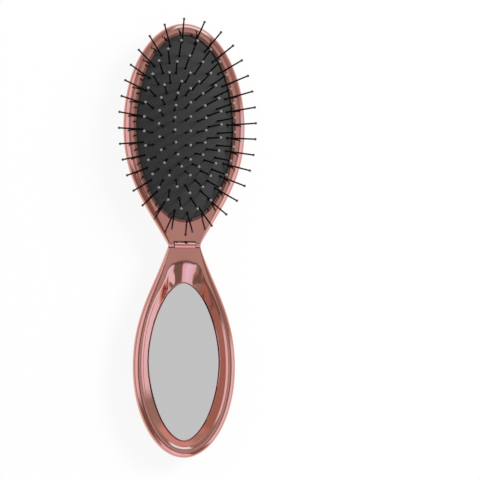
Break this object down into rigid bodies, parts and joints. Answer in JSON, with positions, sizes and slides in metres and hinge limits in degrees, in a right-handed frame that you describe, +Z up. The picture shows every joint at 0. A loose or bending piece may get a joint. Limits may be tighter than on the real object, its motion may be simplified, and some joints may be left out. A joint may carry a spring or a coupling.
{
  "type": "folding hairbrush with mirror",
  "caption": "Folding oval cushion hairbrush with ball-tipped bristles; the handle holds a mirror and folds over the bristles.",
  "frame": {"origin": "centre of the small flat on the domed back of the brush head, on the surface that the open brush lies on", "axes": "+Z up, out of the bristle side; +Y from the handle to the tip of the head; X across the brush"},
  "size_m": [0.0646, 0.2015, 0.0328],
  "materials": {
    "rose_plated_shell": "rose-gold metallised ABS, mirror-like",
    "rose_plated_front": "rose-gold metallised ABS, mirror-like",
    "cushion_rubber": "matt charcoal rubber with a fine mesh texture",
    "inner_resin": "moulded",
    "bristle_nylon": "smooth black nylon",
    "ball_tip": "glossy dipped ball",
    "hinge_steel": "bright drawn wire",
    "mirror_glass": "silvered glass with a ground edge",
    "foam_tape": "adhesive foam tape"
  },
  "bodies": {
    "head": {"head_back_shell": "rose_plated_shell", "head_front_plate": "rose_plated_front", "cushion": "cushion_rubber", "cushion_retainer": "inner_resin", "bristle_ring_1": "bristle_nylon", "bristle_ring_2": "bristle_nylon", "bristle_ring_3": "bristle_nylon", "bristle_ring_4": "bristle_nylon", "bristle_ring_5": "bristle_nylon", "bristle_tips_1": "ball_tip", "bristle_tips_2": "ball_tip", "bristle_tips_3": "ball_tip", "bristle_tips_4": "ball_tip", "bristle_tips_5": "ball_tip", "hinge_pin": "hinge_steel", "hinge_washers": "hinge_steel"},
    "handle": {"handle_back_shell": "rose_plated_shell", "handle_front_frame": "rose_plated_front", "mirror": "mirror_glass", "mirror_tape": "foam_tape"}
  },
  "joints": [
    {"name": "fold", "type": "hinge", "parent": "head", "child": "handle", "pos_m": [0, -0.0544, 0.01415], "axis": [-1, 0, 0], "range_deg": [0, 180], "deforming": ["bristle_ring_1", "bristle_ring_2", "bristle_ring_3", "bristle_ring_4", "bristle_ring_5", "bristle_tips_1", "bristle_tips_2", "bristle_tips_3", "bristle_tips_4", "bristle_tips_5"]}
  ]
}
